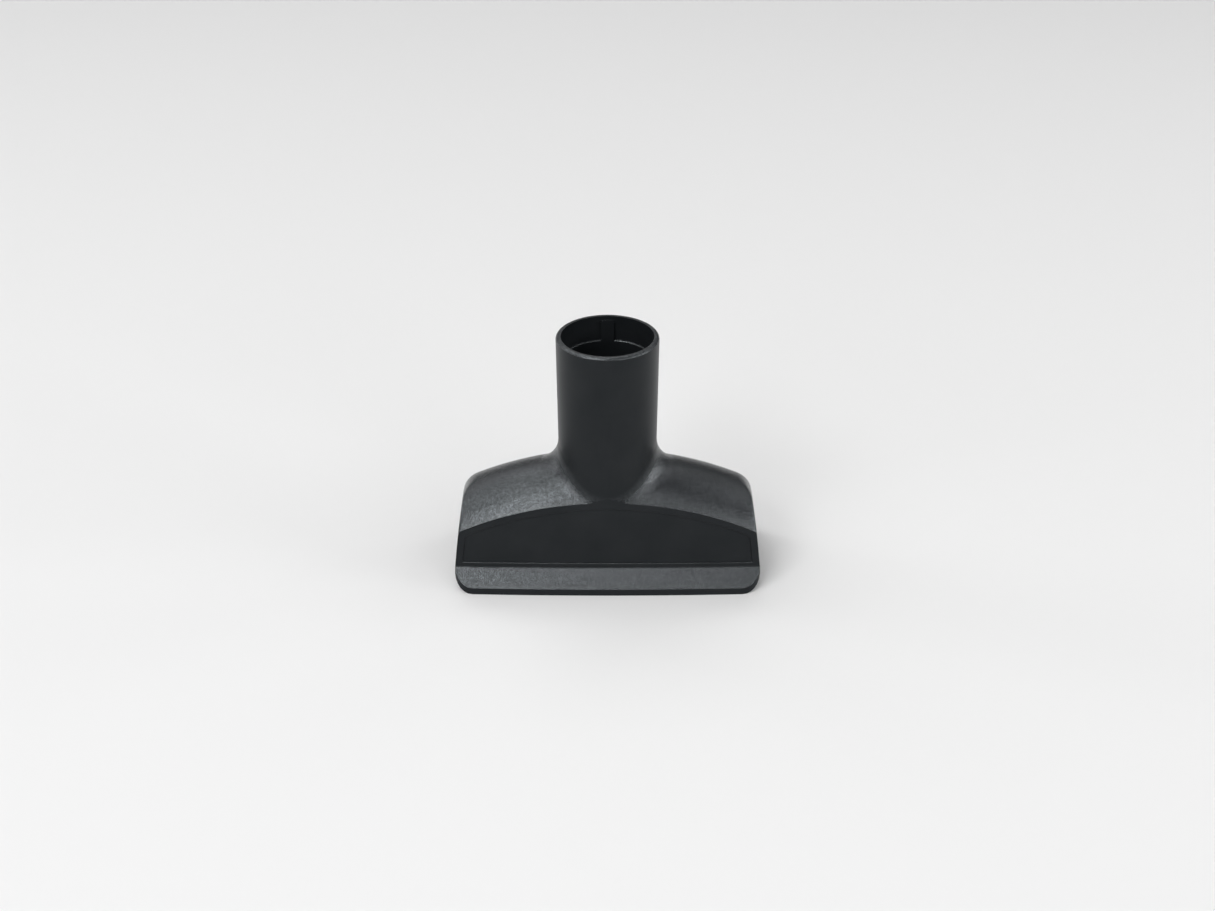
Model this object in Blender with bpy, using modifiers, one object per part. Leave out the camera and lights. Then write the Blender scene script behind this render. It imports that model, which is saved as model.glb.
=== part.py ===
"""Vacuum upholstery nozzle: one plastic moulding, a round hose socket on a wide, arched suction head.

The origin is in the middle of the sole. X runs along the head's width, -Y is the front, with the
sunken field, and +Z is up, along the socket.
"""

import math

import bmesh
import bpy
from mathutils import Vector

MM = 0.001

# Head, outside
SOLE_WIDTH = 122.2 * MM
SOLE_DEPTH = 52.0 * MM
SOLE_CORNER_RADIUS = 7.8 * MM
SOLE_END_RADIUS = 7.0 * MM
LIP_HEIGHT = 2.75 * MM
SKIRT_ANGLE = math.radians(43.9)
SKIRT_FILLET = 1.5 * MM
BODY_DEPTH = 38.6 * MM
FACE_DRAFT = math.radians(0.5)
END_DRAFT = math.radians(5.2)
END_RADIUS = 600.0 * MM
EDGE_HEIGHT = 38.3 * MM
ROOF_RADIUS = 23.5 * MM
ARCH_RADIUS = 133.0 * MM
BOW_RADIUS = 1350.0 * MM
FRONT_END_ROUND = 2.4 * MM
BACK_END_ROUND = 10.0 * MM
END_ROUND_FROM = -9.0 * MM
END_ROUND_TO = 3.0 * MM

# Sunken field in the front face
FIELD_DEPTH = 0.6 * MM
FIELD_BORDER = 3.0 * MM
FIELD_CORNER = 2.6 * MM
FIELD_ABOVE_SKIRT = 1.0 * MM

# Hose socket
TOTAL_HEIGHT = 100.8 * MM
SOCKET_RADIUS = 19.75 * MM
SOCKET_TAPER = math.radians(0.67)
RIM_ROUND = 1.2 * MM
MOUTH_RADIUS = 17.7 * MM
MOUTH_DEPTH = 10.0 * MM
STEP_WIDTH = 0.75 * MM
STEP_CHAMFER = 0.3 * MM
BORE_TAPER = math.radians(1.0)
RIB_WIDTH = 5.2 * MM
RIB_DROP = 1.7 * MM
RIB_CORNER = 0.9 * MM
BLEND_RADIUS = 11.5 * MM

# Hollow of the head
WALL = 2.4 * MM
HOLLOW_CORNER = 1.5 * MM

# How far cutters run past what they cut, and how far the blend's edge sinks into the roof
CLEAR = 8.0 * MM
BLEND_SINK = 0.12 * MM

# Fineness
TURN_STEPS = 72
BLEND_STEPS = 8
ARCH_STEPS = 24
END_STEPS = 6
SIDE_STEPS = 4
DEPTH_STEPS = 20
CORNER_STEPS = 7
RIM_STEPS = 5

# Sizes that follow from those above
HALF_BODY = BODY_DEPTH / 2
HALF_SOLE = SOLE_DEPTH / 2
ROOF_CENTRE = EDGE_HEIGHT - math.sqrt(ROOF_RADIUS**2 - HALF_BODY**2)
SKIRT_TOP = LIP_HEIGHT + (HALF_SOLE - HALF_BODY) * math.tan(SKIRT_ANGLE)
STEP_HEIGHT = TOTAL_HEIGHT - MOUTH_DEPTH
BORE_RADIUS = MOUTH_RADIUS - STEP_WIDTH


def clear_scene():
    """Empty the scene of what it opened with."""
    for item in list(bpy.data.objects):
        bpy.data.objects.remove(item)


def add_collection(name):
    """Make a collection in the scene."""
    collection = bpy.data.collections.new(name)
    bpy.context.scene.collection.children.link(collection)
    return collection


def bowed(x, y):
    """Depth of a point once the front and back are bowed: both come in a little towards the ends."""
    return y * (1 - x * x / (2 * BOW_RADIUS) / HALF_SOLE)


def face_depth(height):
    """Half the body's depth at a height: its front and back lean in by the draft."""
    return HALF_BODY + (EDGE_HEIGHT - height) * math.tan(FACE_DRAFT)


def crown_height(y, inset=0.0):
    """Roof height on the middle plane: a circle across the depth, straight on past the body's faces."""
    radius = ROOF_RADIUS - inset
    reach = min(abs(y), HALF_BODY - inset)
    rise = math.sqrt(radius**2 - reach**2)
    return ROOF_CENTRE + rise - (abs(y) - reach) * reach / rise


def arch_drop(x, radius=ARCH_RADIUS):
    """How far the roof has fallen at a distance from the middle."""
    return radius - math.sqrt(radius**2 - x * x)


def end_round(y):
    """Radius of the roof's rounded end edge, tight at the front and wide over the back half."""
    t = (y - END_ROUND_FROM) / (END_ROUND_TO - END_ROUND_FROM)
    t = min(max(t, 0.0), 1.0)
    return FRONT_END_ROUND + (BACK_END_ROUND - FRONT_END_ROUND) * t * t * (3 - 2 * t)


def side_centre(half_width):
    """Centre of the arc that a head's end follows upwards, in (x, z)."""
    return Vector((half_width - END_RADIUS * math.cos(END_DRAFT), -END_RADIUS * math.sin(END_DRAFT)))


def side_reach(half_width, height):
    """Half the width of a section at a height."""
    centre = side_centre(half_width)
    return centre.x + math.sqrt(END_RADIUS**2 - (height - centre.y) ** 2)


def inner_centre(first, first_radius, second, second_radius):
    """Upper centre that lies the given distances from two others."""
    gap = second - first
    along = (first_radius**2 - second_radius**2 + gap.length_squared) / (2 * gap.length)
    across = math.sqrt(first_radius**2 - along**2)
    forward = gap.normalized()
    return first + forward * along + Vector((forward.y, -forward.x)) * across


def lower_corner(half_width, full_width, radius):
    """Points of the rounded lower corner, top to bottom, where the section's side meets it."""
    centre = side_centre(full_width)
    rise = radius - centre.y
    middle = centre.x + math.sqrt((END_RADIUS - radius) ** 2 - rise**2)
    low, high = 0.0, math.atan2(middle - centre.x, -rise)
    own = side_centre(half_width)
    for _ in range(40):
        angle = (low + high) / 2
        point = Vector((middle + radius * math.sin(angle), radius * (1 - math.cos(angle))))
        if (point - own).length < END_RADIUS:
            low = angle
        else:
            high = angle
    if angle < 0.01:
        return [(half_width, 0.0)] * (END_STEPS + 1)
    turns = [angle * (1 - i / END_STEPS) for i in range(END_STEPS + 1)]
    return [(middle + radius * math.sin(turn), radius * (1 - math.cos(turn))) for turn in turns]


def section(half_width, crown, arch, top_round, base=0.0, base_round=0.0):
    """Two chains of (x, z) points round a section of the head, left to right: under it, and over it.

    Its sides and top are arcs joined by top_round. base_round lifts the lower corners of the full width.
    """
    arch_centre = Vector((0.0, crown - arch))
    own = side_centre(half_width)
    centre = inner_centre(arch_centre, arch - top_round, own, END_RADIUS - top_round)
    from_arch, from_side = centre - arch_centre, centre - own
    turn = math.atan2(from_arch.x, from_arch.y)
    last = math.atan2(from_side.x, from_side.y)

    right = []
    for i in range(ARCH_STEPS // 2 + 1):
        angle = turn * 2 * i / ARCH_STEPS
        right.append((arch * math.sin(angle), arch_centre.y + arch * math.cos(angle)))
    for i in range(1, END_STEPS + 1):
        angle = turn + (last - turn) * i / END_STEPS
        right.append((centre.x + top_round * math.sin(angle), centre.y + top_round * math.cos(angle)))
    if base_round:
        under = lower_corner(half_width, SOLE_WIDTH / 2, base_round)
    else:
        under = [(side_reach(half_width, base), base)] * (END_STEPS + 1)
    top, bottom = right[-1][1], under[0][1]
    for i in range(1, SIDE_STEPS):
        height = top + (bottom - top) * i / SIDE_STEPS
        right.append((side_reach(half_width, height), height))
    right.append(under[0])

    flat = under[-1][0]
    steps = len(right) * 2 - 2 - 2 * END_STEPS
    floor = [(flat * (1 - 2 * i / steps), base) for i in range(1, steps)]
    below = under + floor + [(-x, z) for x, z in reversed(under)]
    above = list(reversed(right)) + [(-x, z) for x, z in right[1:]]
    return [(-x, z) for x, z in below], [(-x, z) for x, z in above]


def skin(name, collection, sections):
    """Closed mesh through sections that each give an under chain and an over chain of 3D points."""
    bm = bmesh.new()
    rings = []
    for under, over in sections:
        low = [bm.verts.new(point) for point in under]
        high = [low[0]] + [bm.verts.new(point) for point in over[1:-1]] + [low[-1]]
        rings.append((low, high))
    for (low_a, high_a), (low_b, high_b) in zip(rings, rings[1:]):
        for a, b in ((low_a, low_b), (high_a, high_b)):
            for i in range(len(a) - 1):
                bm.faces.new((a[i], a[i + 1], b[i + 1], b[i]))
    for low, high in (rings[0], rings[-1]):
        bm.faces.new((low[0], low[1], high[1]))
        for i in range(1, len(low) - 2):
            bm.faces.new((low[i], low[i + 1], high[i + 1], high[i]))
        bm.faces.new((low[-2], low[-1], high[-2]))
    return finish(name, collection, bm)


def finish(name, collection, bm):
    """Weld, turn the faces outwards, and put the mesh in the scene."""
    bmesh.ops.remove_doubles(bm, verts=bm.verts[:], dist=1e-6)
    bmesh.ops.dissolve_degenerate(bm, edges=bm.edges[:], dist=1e-7)
    bmesh.ops.recalc_face_normals(bm, faces=bm.faces[:])
    mesh = bpy.data.meshes.new(name)
    bm.to_mesh(mesh)
    bm.free()
    item = bpy.data.objects.new(name, mesh)
    collection.objects.link(item)
    return item


def as_helper(item):
    """Show a cutter or a guide as wire and keep it out of a render."""
    item.hide_render = True
    item.display_type = "WIRE"
    return item


def make_block(collection):
    """The head before its faces are cut: rounded sole corners, arched roof with rounded end edges."""
    straight = HALF_SOLE - SOLE_CORNER_RADIUS
    stations = []
    for i in range(CORNER_STEPS + 1):
        angle = math.pi / 2 * (1 - i / CORNER_STEPS)
        inset = SOLE_CORNER_RADIUS * (1 - math.cos(angle))
        stations.append((-straight - SOLE_CORNER_RADIUS * math.sin(angle), SOLE_WIDTH / 2 - inset))
    for i in range(1, DEPTH_STEPS):
        stations.append((straight * (2 * i / DEPTH_STEPS - 1), SOLE_WIDTH / 2))
    stations += [(-y, width) for y, width in reversed(stations[: CORNER_STEPS + 1])]

    sections = []
    for y, width in stations:
        under, over = section(width, crown_height(y), ARCH_RADIUS, end_round(y), 0.0, SOLE_END_RADIUS)
        sections.append([[(x, bowed(x, y), z) for x, z in chain] for chain in (under, over)])
    return skin("nozzle_body", collection, sections)


def socket_radius(height):
    """Outer radius of the socket, which narrows downwards."""
    return SOCKET_RADIUS - (TOTAL_HEIGHT - height) * math.tan(SOCKET_TAPER)


def roof_point(x, y):
    """Point of the roof that the blend is laid on."""
    return Vector((x, bowed(x, y), crown_height(y) - arch_drop(x) - BLEND_SINK))


def roof_normal(x, y):
    """Upward normal of the roof there."""
    step = 0.05 * MM
    along_x = roof_point(x + step, y) - roof_point(x - step, y)
    along_y = roof_point(x, y + step) - roof_point(x, y - step)
    return along_x.cross(along_y).normalized()


def blend_arc(azimuth):
    """Points of the blend at an azimuth, top to bottom: a ball that touches socket and roof."""
    lean = SOCKET_TAPER
    across, along = math.cos(azimuth), math.sin(azimuth)
    outward = Vector((across * math.cos(lean), along * math.cos(lean), -math.sin(lean)))
    x = socket_radius(EDGE_HEIGHT) * across
    y = socket_radius(EDGE_HEIGHT) * along
    height = roof_point(x, y).z + BLEND_RADIUS
    for _ in range(60):
        reach = socket_radius(height) + BLEND_RADIUS / math.cos(lean)
        normal = roof_normal(x, y)
        x = reach * across - BLEND_RADIUS * normal.x
        y = (reach * along - BLEND_RADIUS * normal.y) / bowed(x, 1.0)
        height = roof_point(x, y).z + BLEND_RADIUS * normal.z
    centre = Vector((reach * across, reach * along, height))
    first, last = -outward, -roof_normal(x, y)
    return [centre + first.slerp(last, i / BLEND_STEPS) * BLEND_RADIUS for i in range(BLEND_STEPS + 1)]


def make_socket(collection):
    """Outside of the socket, from its rounded rim down to the blend that sinks into the roof."""
    bm = bmesh.new()
    rim = []
    for i in range(RIM_STEPS + 1):
        angle = math.pi / 2 * i / RIM_STEPS
        height = TOTAL_HEIGHT - RIM_ROUND * (1 - math.sin(angle))
        rim.append((socket_radius(height) - RIM_ROUND * (1 - math.cos(angle)), height))
    rim.reverse()
    rings = []
    for step in range(TURN_STEPS):
        azimuth = 2 * math.pi * step / TURN_STEPS
        ring = [Vector((r * math.cos(azimuth), r * math.sin(azimuth), z)) for r, z in rim]
        ring += blend_arc(azimuth)
        ring.append(ring[-1] - Vector((0, 0, WALL / 2)))
        rings.append([bm.verts.new(point) for point in ring])
    top = bm.verts.new((0, 0, TOTAL_HEIGHT))
    bottom = bm.verts.new((0, 0, ROOF_CENTRE))
    for step in range(TURN_STEPS):
        a, b = rings[step - 1], rings[step]
        bm.faces.new((top, a[0], b[0]))
        bm.faces.new((bottom, b[-1], a[-1]))
        for i in range(len(a) - 1):
            bm.faces.new((a[i], a[i + 1], b[i + 1], b[i]))
    return as_helper(finish("socket_outside", collection, bm))


def make_face_cutter(name, side, collection):
    """What is cut away in front of (or behind) the body and above the skirt, following the bow."""
    slope = math.tan(SKIRT_ANGLE)
    foot = face_depth(SKIRT_TOP)
    # The fillet touches the skirt's slope and the upright face
    corner_height = LIP_HEIGHT + (HALF_SOLE - foot) * slope
    setback = SKIRT_FILLET * math.tan((math.pi / 2 - SKIRT_ANGLE) / 2)
    profile = [(HALF_SOLE + CLEAR, LIP_HEIGHT - CLEAR * slope)]
    centre = Vector((foot + SKIRT_FILLET, corner_height + setback))
    steps = 4
    for i in range(steps + 1):
        angle = SKIRT_ANGLE + (math.pi / 2 - SKIRT_ANGLE) * (i / steps)
        across, down = SKIRT_FILLET * math.sin(angle), SKIRT_FILLET * math.cos(angle)
        profile.append((centre.x - across, centre.y - down))
    above = EDGE_HEIGHT + BLEND_RADIUS / 2
    profile.append((face_depth(above), above))
    profile.append((HALF_SOLE + CLEAR, above))

    bm = bmesh.new()
    reach = SOLE_WIDTH / 2 + CLEAR
    rings = []
    steps = 16
    for i in range(steps + 1):
        x = reach * (2 * i / steps - 1)
        rings.append([bm.verts.new((x, bowed(x, side * y), z)) for y, z in profile])
    for a, b in zip(rings, rings[1:]):
        for j in range(len(profile)):
            bm.faces.new((a[j - 1], a[j], b[j], b[j - 1]))
    bm.faces.new(rings[0])
    bm.faces.new(rings[-1])
    return as_helper(finish(name, collection, bm))


def make_field_cutter(collection):
    """The sunken field of the front face: its outline follows the roof's edge and the ends."""
    base = SKIRT_TOP + SKIRT_FILLET * math.tan((math.pi / 2 - SKIRT_ANGLE) / 2) + FIELD_ABOVE_SKIRT
    crown = EDGE_HEIGHT - FIELD_BORDER
    width = SOLE_WIDTH / 2 - FIELD_BORDER
    under, over = section(width, crown, ARCH_RADIUS - FIELD_BORDER, FIELD_CORNER, base)
    sections = []
    for depth in (-CLEAR, FIELD_DEPTH):
        chains = []
        for chain in (under, over):
            chains.append([(x, bowed(x, depth - face_depth(z)), z) for x, z in chain])
        sections.append(chains)
    return as_helper(skin("front_field_cutter", collection, sections))


def make_hollow(collection):
    """The head's inside, open at the sole: the outside moved in by the wall."""
    half = HALF_BODY - WALL
    straight = half - HOLLOW_CORNER
    width = SOLE_WIDTH / 2 - WALL
    stations = []
    steps = CORNER_STEPS // 2
    for i in range(steps + 1):
        angle = math.pi / 2 * (1 - i / steps)
        inset = HOLLOW_CORNER * (1 - math.cos(angle))
        stations.append((-straight - HOLLOW_CORNER * math.sin(angle), width - inset))
    for i in range(1, DEPTH_STEPS):
        stations.append((straight * (2 * i / DEPTH_STEPS - 1), width))
    stations += [(-y, w) for y, w in reversed(stations[: steps + 1])]

    sections = []
    for y, half_width in stations:
        inner_round = max(end_round(y) - WALL, HOLLOW_CORNER)
        under, over = section(half_width, crown_height(y, WALL), ARCH_RADIUS - WALL, inner_round, -CLEAR)
        chains = []
        for chain in (under, over):
            chains.append([(x, bowed(x, y * (face_depth(z) - WALL) / half), z) for x, z in chain])
        sections.append(chains)
    return as_helper(skin("hollow_cutter", collection, sections))


def make_turned(name, profile, collection):
    """Solid of revolution about the socket's axis from an (r, z) profile, listed top to bottom."""
    mesh = bpy.data.meshes.new(name)
    points = [(radius, 0.0, height) for radius, height in profile]
    mesh.from_pydata(points, [(i, i + 1) for i in range(len(points) - 1)], [])
    item = bpy.data.objects.new(name, mesh)
    collection.objects.link(item)
    turn = item.modifiers.new("Turn", "SCREW")
    turn.axis = "Z"
    turn.steps = TURN_STEPS
    turn.render_steps = TURN_STEPS
    turn.use_merge_vertices = True
    turn.merge_threshold = 0.00001
    return as_helper(item)


def make_bore_cutters(collection):
    """The mouth with the slot that leaves its rib, and the long tapered bore below the step."""
    mouth = make_turned(
        "mouth_cutter",
        [
            (0.0, TOTAL_HEIGHT + CLEAR),
            (MOUTH_RADIUS, TOTAL_HEIGHT + CLEAR),
            (MOUTH_RADIUS, STEP_HEIGHT),
            (BORE_RADIUS + STEP_CHAMFER, STEP_HEIGHT),
            (BORE_RADIUS - STEP_CHAMFER, STEP_HEIGHT - 2 * STEP_CHAMFER),
            (0.0, STEP_HEIGHT - 2 * STEP_CHAMFER),
        ],
        collection,
    )
    end = EDGE_HEIGHT - WALL
    narrow = BORE_RADIUS - (STEP_HEIGHT - end) * math.tan(BORE_TAPER)
    bore = make_turned(
        "bore_cutter",
        [
            (0.0, TOTAL_HEIGHT + 2 * CLEAR),
            (BORE_RADIUS, TOTAL_HEIGHT + 2 * CLEAR),
            (BORE_RADIUS, STEP_HEIGHT),
            (narrow, end),
            (0.0, end),
        ],
        collection,
    )
    return mouth, bore


def make_rib(collection):
    """Block that keeps the rib in the mouth: upright, on the back wall, with rounded top corners."""
    bm = bmesh.new()
    bmesh.ops.create_cube(bm, size=1.0)
    height = MOUTH_DEPTH + CLEAR - RIB_DROP
    for vert in bm.verts:
        vert.co.x *= RIB_WIDTH
        vert.co.y = vert.co.y * MOUTH_RADIUS + 1.1 * MOUTH_RADIUS
        vert.co.z = vert.co.z * height + TOTAL_HEIGHT - RIB_DROP - height / 2
    top_edges = []
    for edge in bm.edges:
        first, second = (vert.co for vert in edge.verts)
        along_depth = abs(first.x - second.x) < 1e-6
        if along_depth and min(first.z, second.z) > TOTAL_HEIGHT - 2 * RIB_DROP:
            top_edges.append(edge)
    bmesh.ops.bevel(bm, geom=top_edges, offset=RIB_CORNER, segments=4, profile=0.5, affect="EDGES")
    return as_helper(finish("rib_keeper", collection, bm))


def add_boolean(item, operation, other, label):
    """Join another object to this one, or cut it away."""
    modifier = item.modifiers.new(label, "BOOLEAN")
    modifier.operation = operation
    modifier.object = other
    modifier.solver = "EXACT"


def bake(item):
    """Replace the object's mesh with its result and drop the modifiers."""
    graph = bpy.context.evaluated_depsgraph_get()
    mesh = bpy.data.meshes.new_from_object(item.evaluated_get(graph))
    mesh.name = item.name
    item.modifiers.clear()
    item.data = mesh


def black_plastic():
    """Matte charcoal plastic with a fine moulded grain's soft gloss."""
    material = bpy.data.materials.new("charcoal_plastic")
    material.use_nodes = True
    shader = material.node_tree.nodes["Principled BSDF"]
    shader.inputs["Base Color"].default_value = (0.030, 0.032, 0.034, 1.0)
    shader.inputs["Roughness"].default_value = 0.48
    shader.inputs["Metallic"].default_value = 0.0
    return material


def main():
    clear_scene()
    parts = add_collection("upholstery_nozzle")
    cutters = add_collection("cutters")

    body = make_block(parts)
    add_boolean(body, "UNION", make_socket(cutters), "Socket and blend")
    add_boolean(body, "DIFFERENCE", make_face_cutter("front_cutter", -1, cutters), "Front face and skirt")
    add_boolean(body, "DIFFERENCE", make_face_cutter("back_cutter", 1, cutters), "Back face and skirt")
    add_boolean(body, "DIFFERENCE", make_field_cutter(cutters), "Sunken field")
    add_boolean(body, "DIFFERENCE", make_hollow(cutters), "Hollow head")
    mouth, bore = make_bore_cutters(cutters)
    add_boolean(mouth, "DIFFERENCE", make_rib(cutters), "Rib")
    add_boolean(body, "DIFFERENCE", mouth, "Mouth")
    add_boolean(body, "DIFFERENCE", bore, "Bore")
    bake(body)

    body.data.materials.clear()
    body.data.materials.append(black_plastic())
    body.data.shade_smooth()
    body.data.set_sharp_from_angle(angle=math.radians(32))


main()
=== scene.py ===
"""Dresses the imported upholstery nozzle: grained charcoal plastic, soft lights, pale floor and camera."""

import math

import bmesh
import bpy
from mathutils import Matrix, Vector
from mathutils.bvhtree import BVHTree


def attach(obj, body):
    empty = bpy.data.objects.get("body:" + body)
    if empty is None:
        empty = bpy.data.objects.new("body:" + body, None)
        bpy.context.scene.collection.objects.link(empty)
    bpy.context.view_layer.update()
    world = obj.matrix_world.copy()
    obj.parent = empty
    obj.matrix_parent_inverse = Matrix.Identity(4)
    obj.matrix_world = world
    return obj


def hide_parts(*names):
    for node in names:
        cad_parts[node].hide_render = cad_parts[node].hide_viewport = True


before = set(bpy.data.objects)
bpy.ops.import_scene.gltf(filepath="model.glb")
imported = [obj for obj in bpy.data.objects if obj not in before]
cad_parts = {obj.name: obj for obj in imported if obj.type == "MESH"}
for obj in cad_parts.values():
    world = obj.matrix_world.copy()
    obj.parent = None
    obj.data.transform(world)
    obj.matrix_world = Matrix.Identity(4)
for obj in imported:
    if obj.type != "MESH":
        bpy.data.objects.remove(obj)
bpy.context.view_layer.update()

# Camera, set to the photograph's viewing angle
AIM = Vector((0.0, 0.0, 0.0487))
DISTANCE = 0.705
ELEVATION = math.radians(29.5)
LENS = 53.16
SENSOR = 36.0
NEAREST = 0.01

# Shading: edges that turn more than SHARP are real ones, facets closer than COPLANAR are one face, and
# corners closer than MERGE are one corner
SHARP = math.radians(28.0)
COPLANAR = math.radians(0.2)
MERGE = 1e-6

# The sunken field's rim: square edges in front of RIM_DEPTH and above RIM_FOOT, rounded to RIM_ROUND
RIM_TURN = math.radians(85.0)
RIM_DEPTH = -0.0185
RIM_FOOT = 0.0095
RIM_ROUND = 0.0003
RIM_SEGMENTS = 3

# Where the outside counts as a wall and where as a top, by how far its normal points up. Walls and tops
# differ in grain and roughness, and in a gloss that paints shade on the walls and sheen on the tops
WALL_SLOPE = 0.08
TOP_SLOPE = 0.5

# Grain: noise per metre and its detail, height in metres, and its share of that height on walls and tops
GRAIN_SCALE = 2100.0
GRAIN_DETAIL = 2.0
GRAIN_HEIGHT = 0.00016
WALL_GRAIN = 0.15
TOP_GRAIN = 1.0

# Gloss of walls and tops, and the speckle that varies it on tops. The low wall gloss is painted shade on
# upright faces, and the high top gloss is painted sheen on faces that point up
WALL_GLOSS_PAINTED_SHADE = 0.20
TOP_GLOSS_PAINTED_SHEEN = 1.01
SPECKLE_SCALE = 950.0
SPECKLE_DETAIL = 4.0
SPECKLE = 0.75
WALL_ROUGHNESS = 0.36
TOP_ROUGHNESS = 0.24
# Cool tint on every reflection: painted colour of cool lamp light
PAINTED_LAMP_TINT = (0.90, 0.96, 1.0, 1.0)

# Softness of real edges in the shading, as a radius in metres
EDGE_SOFTNESS = 0.0003
EDGE_SAMPLES = 8

# Colour: two tones in faint patches, and the patch values where each tone is reached
DARK_TONE = (0.0085, 0.0100, 0.0115, 1.0)
LIGHT_TONE = (0.0130, 0.0145, 0.0160, 1.0)
PATCH_SCALE = 60.0
PATCH_DETAIL = 3.0
DARK_STOP = 0.3
LIGHT_STOP = 0.7

# Bore, whose roughness follows the patches
BORE_GLOSS = 0.25
BORE_ROUGHNESS = (0.32, 0.42)

# Points on the surfaces without grain: the bore above and below its step
SMOOTH_SEEDS = ((0.0175, 0.0, 0.096), (0.016, 0.0, 0.070))

# Floor
FLOOR_SIZE = 8.0
FLOOR_COLOUR = (0.86, 0.86, 0.86, 1.0)
FLOOR_ROUGHNESS = 0.9
FLOOR_GLOSS = 0.1

# Lights: azimuth and elevation in degrees, distance and size in metres, power in watts
LIGHTS = {
    "key": (-26.0, 38.0, 2.5, (0.6, 0.6), 9.0),
    "key_high": (-22.0, 64.0, 2.5, (0.7, 0.5), 8.0),
    "left": (-46.0, 42.0, 2.4, (0.6, 0.6), 7.5),
    "left_low": (-42.0, 23.0, 2.5, (1.9, 0.35), 9.0),
    "left_steep": (-75.0, 66.0, 2.2, (0.5, 0.5), 4.0),
    "left_rim": (-105.0, 22.0, 2.2, (0.6, 0.5), 4.5),
    "left_back": (-100.0, 52.0, 2.2, (0.6, 0.6), 3.0),
    "left_rear": (-135.0, 35.0, 2.4, (0.9, 0.7), 2.0),
    "fill": (28.0, 44.0, 2.5, (1.4, 1.4), 6.5),
    "right": (74.0, 18.0, 2.2, (1.1, 0.35), 12.0),
    "right_low": (38.0, 20.0, 2.5, (1.1, 0.35), 7.0),
    "right_rim": (105.0, 22.0, 2.2, (0.6, 0.5), 3.0),
    "right_back": (100.0, 52.0, 2.2, (0.6, 0.6), 3.0),
    "right_rear": (135.0, 35.0, 2.4, (0.9, 0.7), 2.0),
    "back": (190.0, 56.0, 2.5, (1.6, 0.9), 11.0),
}

# Studio: its dim level, and the backdrop's level, direction and fade, as cosines to that direction
WORLD = 0.01
BACK_WORLD = 0.28
BACKDROP = (-0.80, 0.60, 0.20)
DIM_UNTIL = -0.1
BRIGHT_FROM = 0.9


def value_node(tree, kind, **settings):
    """Add a node to a tree and set its properties."""
    node = tree.nodes.new(kind)
    for key, value in settings.items():
        setattr(node, key, value)
    return node


def graded(tree, factor, low, high, target):
    """Drive a shader input from low, where the factor is 0, to high, where it is 1."""
    span = value_node(tree, "ShaderNodeMapRange")
    span.inputs["To Min"].default_value = low
    span.inputs["To Max"].default_value = high
    tree.links.new(factor, span.inputs["Value"])
    tree.links.new(span.outputs["Result"], target)


def noise(tree, place, scale, detail):
    """Noise over the object's own coordinates."""
    node = value_node(tree, "ShaderNodeTexNoise")
    node.inputs["Scale"].default_value = scale
    node.inputs["Detail"].default_value = detail
    tree.links.new(place.outputs["Object"], node.inputs["Vector"])
    return node.outputs["Fac"]


def patched_colour(tree, patch, target):
    """Colour between the plastic's dark and light tones, by the patches."""
    ramp = value_node(tree, "ShaderNodeValToRGB")
    ramp.color_ramp.elements[0].position = DARK_STOP
    ramp.color_ramp.elements[1].position = LIGHT_STOP
    ramp.color_ramp.elements[0].color = DARK_TONE
    ramp.color_ramp.elements[1].color = LIGHT_TONE
    tree.links.new(patch, ramp.inputs["Fac"])
    tree.links.new(ramp.outputs["Color"], target)


def new_plastic(name):
    """A material with its node tree, shader and place."""
    material = bpy.data.materials.new(name)
    material.use_nodes = True
    tree = material.node_tree
    shader = tree.nodes["Principled BSDF"]
    # Painted cool lamp colour on the reflections
    shader.inputs["Specular Tint"].default_value = PAINTED_LAMP_TINT
    return material, tree, shader, tree.nodes.new("ShaderNodeTexCoord")


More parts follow.
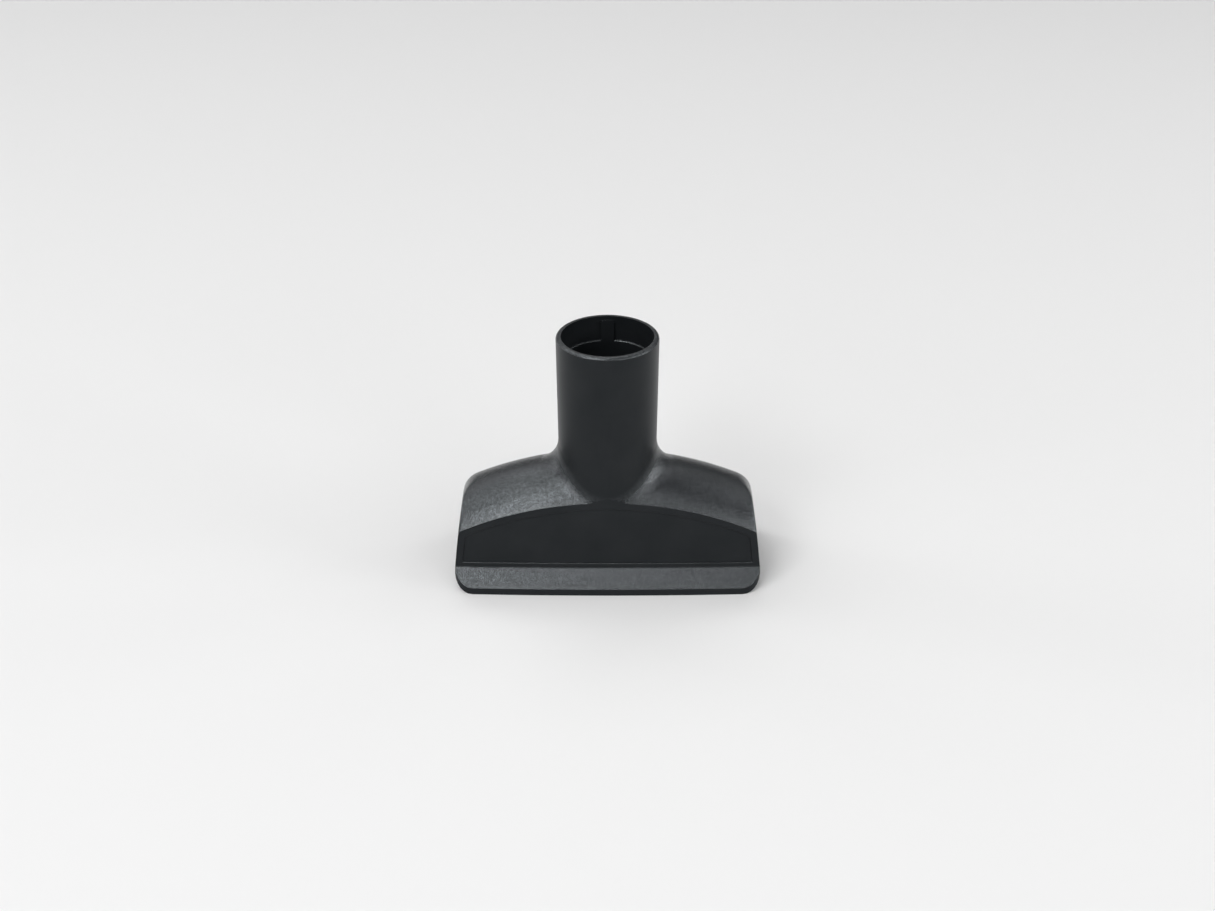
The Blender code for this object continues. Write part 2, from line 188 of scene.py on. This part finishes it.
def grained_plastic_painted_sheen_and_shade():
    """Outside finish: spark-eroded grain where the moulding faces up and smoother walls, with painted
    shade on the walls and painted sheen on the tops from a gloss that rises as the surface turns up.
    """
    material, tree, shader, place = new_plastic("grained_plastic_painted_sheen_and_shade")
    split = value_node(tree, "ShaderNodeSeparateXYZ")
    tree.links.new(place.outputs["Normal"], split.inputs["Vector"])
    # Facing-up ramp: it sets the real grain and roughness, and the painted shade and sheen in the gloss
    grain_and_painted_sheen_ramp = value_node(tree, "ShaderNodeMapRange", interpolation_type="SMOOTHSTEP")
    grain_and_painted_sheen_ramp.inputs["From Min"].default_value = WALL_SLOPE
    grain_and_painted_sheen_ramp.inputs["From Max"].default_value = TOP_SLOPE
    tree.links.new(split.outputs["Z"], grain_and_painted_sheen_ramp.inputs["Value"])
    grain_and_painted_sheen_mask = grain_and_painted_sheen_ramp.outputs["Result"]

    patch = noise(tree, place, PATCH_SCALE, PATCH_DETAIL)
    patched_colour(tree, patch, shader.inputs["Base Color"])
    # Gloss from the walls' painted shade to the tops' painted sheen, with random speckle on the tops
    gloss = value_node(tree, "ShaderNodeMapRange")
    gloss.inputs["To Min"].default_value = WALL_GLOSS_PAINTED_SHADE
    speckle = noise(tree, place, SPECKLE_SCALE, SPECKLE_DETAIL)
    graded(tree, speckle, TOP_GLOSS_PAINTED_SHEEN - SPECKLE, TOP_GLOSS_PAINTED_SHEEN + SPECKLE, gloss.inputs["To Max"])
    tree.links.new(grain_and_painted_sheen_mask, gloss.inputs["Value"])
    tree.links.new(gloss.outputs["Result"], shader.inputs["Specular IOR Level"])
    graded(tree, grain_and_painted_sheen_mask, WALL_ROUGHNESS, TOP_ROUGHNESS, shader.inputs["Roughness"])

    edge = value_node(tree, "ShaderNodeBevel", samples=EDGE_SAMPLES)
    edge.inputs["Radius"].default_value = EDGE_SOFTNESS
    bump = value_node(tree, "ShaderNodeBump")
    bump.inputs["Distance"].default_value = GRAIN_HEIGHT
    graded(tree, grain_and_painted_sheen_mask, WALL_GRAIN, TOP_GRAIN, bump.inputs["Strength"])
    tree.links.new(noise(tree, place, GRAIN_SCALE, GRAIN_DETAIL), bump.inputs["Height"])
    tree.links.new(edge.outputs["Normal"], bump.inputs["Normal"])
    tree.links.new(bump.outputs["Normal"], shader.inputs["Normal"])
    return material


def smooth_plastic():
    """Finish of the bore, polished by the core that drew out of it."""
    material, tree, shader, place = new_plastic("smooth_plastic")
    patch = noise(tree, place, PATCH_SCALE, PATCH_DETAIL)
    patched_colour(tree, patch, shader.inputs["Base Color"])
    shader.inputs["Specular IOR Level"].default_value = BORE_GLOSS
    graded(tree, patch, *BORE_ROUGHNESS, shader.inputs["Roughness"])
    return material


def spread(bm, first):
    """Faces reached from one of them without crossing a real edge."""
    found, queue = {first}, [first]
    while queue:
        for edge in queue.pop().edges:
            if edge.calc_face_angle(0.0) < SHARP:
                for face in edge.link_faces:
                    if face not in found:
                        found.add(face)
                        queue.append(face)
    return found


def corner_normals(bm):
    """Shading normals, corner by corner: faces that turn less than SHARP from a face count by area."""
    normals = []
    for face in bm.faces:
        for corner in face.loops:
            total = Vector()
            for near in corner.vert.link_faces:
                if near.normal.dot(face.normal) > math.cos(SHARP):
                    total += near.normal * near.calc_area()
            normals.append(total.normalized())
    return normals


def on_field_rim(edge):
    """Whether an edge is the outer one where the sunken field's wall meets the front face."""
    middle = (edge.verts[0].co + edge.verts[1].co) / 2
    return edge.calc_face_angle_signed(0.0) > RIM_TURN and middle.y < RIM_DEPTH and middle.z > RIM_FOOT


def make_body():
    """The moulding with smooth shading between its real edges, standing for the faceted CAD solid."""
    bm = bmesh.new()
    bm.from_mesh(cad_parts["nozzle_body"].data)
    bmesh.ops.remove_doubles(bm, verts=bm.verts[:], dist=MERGE)
    bmesh.ops.dissolve_limit(bm, angle_limit=COPLANAR, verts=bm.verts[:], edges=bm.edges[:])
    bm.verts.index_update()
    bm.verts.ensure_lookup_table()
    bm.faces.ensure_lookup_table()
    surface = BVHTree.FromBMesh(bm)
    for seed in SMOOTH_SEEDS:
        nearest = surface.find_nearest(Vector(seed))[2]
        for face in spread(bm, bm.faces[nearest]):
            face.material_index = 1
    bmesh.ops.bevel(
        bm, geom=[edge for edge in bm.edges if on_field_rim(edge)], offset=RIM_ROUND,
        segments=RIM_SEGMENTS, profile=0.5, affect="EDGES", clamp_overlap=False, miter_outer="SHARP",
    )
    bm.normal_update()
    bm.verts.index_update()
    normals = corner_normals(bm)
    finishes = [face.material_index for face in bm.faces]
    mesh = bpy.data.meshes.new("nozzle_moulding")
    mesh.from_pydata([vert.co for vert in bm.verts], [], [[v.index for v in f.verts] for f in bm.faces])
    bm.free()
    mesh.materials.append(grained_plastic_painted_sheen_and_shade())
    mesh.materials.append(smooth_plastic())
    mesh.polygons.foreach_set("material_index", finishes)
    mesh.shade_smooth()
    mesh.normals_split_custom_set(normals)
    item = bpy.data.objects.new("nozzle_moulding", mesh)
    bpy.context.scene.collection.objects.link(item)
    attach(item, "root")
    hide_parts("nozzle_body")


def floor_material():
    """Pale matte floor."""
    material = bpy.data.materials.new("pale_floor")
    material.use_nodes = True
    shader = material.node_tree.nodes["Principled BSDF"]
    shader.inputs["Base Color"].default_value = FLOOR_COLOUR
    shader.inputs["Roughness"].default_value = FLOOR_ROUGHNESS
    shader.inputs["Specular IOR Level"].default_value = FLOOR_GLOSS
    return material


def add_floor():
    """A flat floor that reaches far past the view."""
    bpy.ops.mesh.primitive_plane_add(size=FLOOR_SIZE, location=(0.0, 0.0, 0.0))
    floor = bpy.context.object
    floor.name = "floor"
    floor.data.materials.append(floor_material())


def add_area(name, azimuth, elevation, distance, size, power):
    """Rectangular soft light aimed at the object. Azimuth 0 is in front, and positive is to the right."""
    around, up = math.radians(azimuth), math.radians(elevation)
    away = Vector((math.sin(around) * math.cos(up), -math.cos(around) * math.cos(up), math.sin(up)))
    data = bpy.data.lights.new(name, "AREA")
    data.shape = "RECTANGLE"
    data.size, data.size_y = size
    data.energy = power
    item = bpy.data.objects.new(name, data)
    bpy.context.scene.collection.objects.link(item)
    item.location = AIM + away * distance
    item.rotation_euler = (-away).to_track_quat("-Z", "Y").to_euler()


def add_world():
    """Dim studio, brighter towards a pale backdrop behind and to the left."""
    world = bpy.data.worlds.new("studio")
    world.use_nodes = True
    tree = world.node_tree
    place = tree.nodes.new("ShaderNodeTexCoord")
    aim = value_node(tree, "ShaderNodeVectorMath", operation="DOT_PRODUCT")
    aim.inputs[1].default_value = Vector(BACKDROP).normalized()
    tree.links.new(place.outputs["Generated"], aim.inputs[0])
    level = value_node(tree, "ShaderNodeMapRange", interpolation_type="SMOOTHSTEP")
    level.inputs["From Min"].default_value = DIM_UNTIL
    level.inputs["From Max"].default_value = BRIGHT_FROM
    level.inputs["To Min"].default_value = WORLD
    level.inputs["To Max"].default_value = BACK_WORLD
    tree.links.new(aim.outputs["Value"], level.inputs["Value"])
    glow = tree.nodes["Background"]
    glow.inputs["Color"].default_value = (1.0, 1.0, 1.0, 1.0)
    tree.links.new(level.outputs["Result"], glow.inputs["Strength"])
    bpy.context.scene.world = world


def add_camera():
    """Camera at the photograph's angle."""
    data = bpy.data.cameras.new("camera")
    data.sensor_width = SENSOR
    data.lens = LENS
    data.clip_start = NEAREST
    item = bpy.data.objects.new("camera", data)
    bpy.context.scene.collection.objects.link(item)
    back = Vector((0.0, -math.cos(ELEVATION), math.sin(ELEVATION)))
    item.location = AIM + back * DISTANCE
    item.rotation_euler = (-back).to_track_quat("-Z", "Y").to_euler()
    bpy.context.scene.camera = item


def main():
    """Make the piece, the stage, the lights and the camera."""
    make_body()
    add_floor()
    for name, (azimuth, elevation, distance, size, power) in LIGHTS.items():
        add_area(name, azimuth, elevation, distance, size, power)
    add_world()
    add_camera()
    bpy.context.scene.view_settings.view_transform = "Standard"


main()
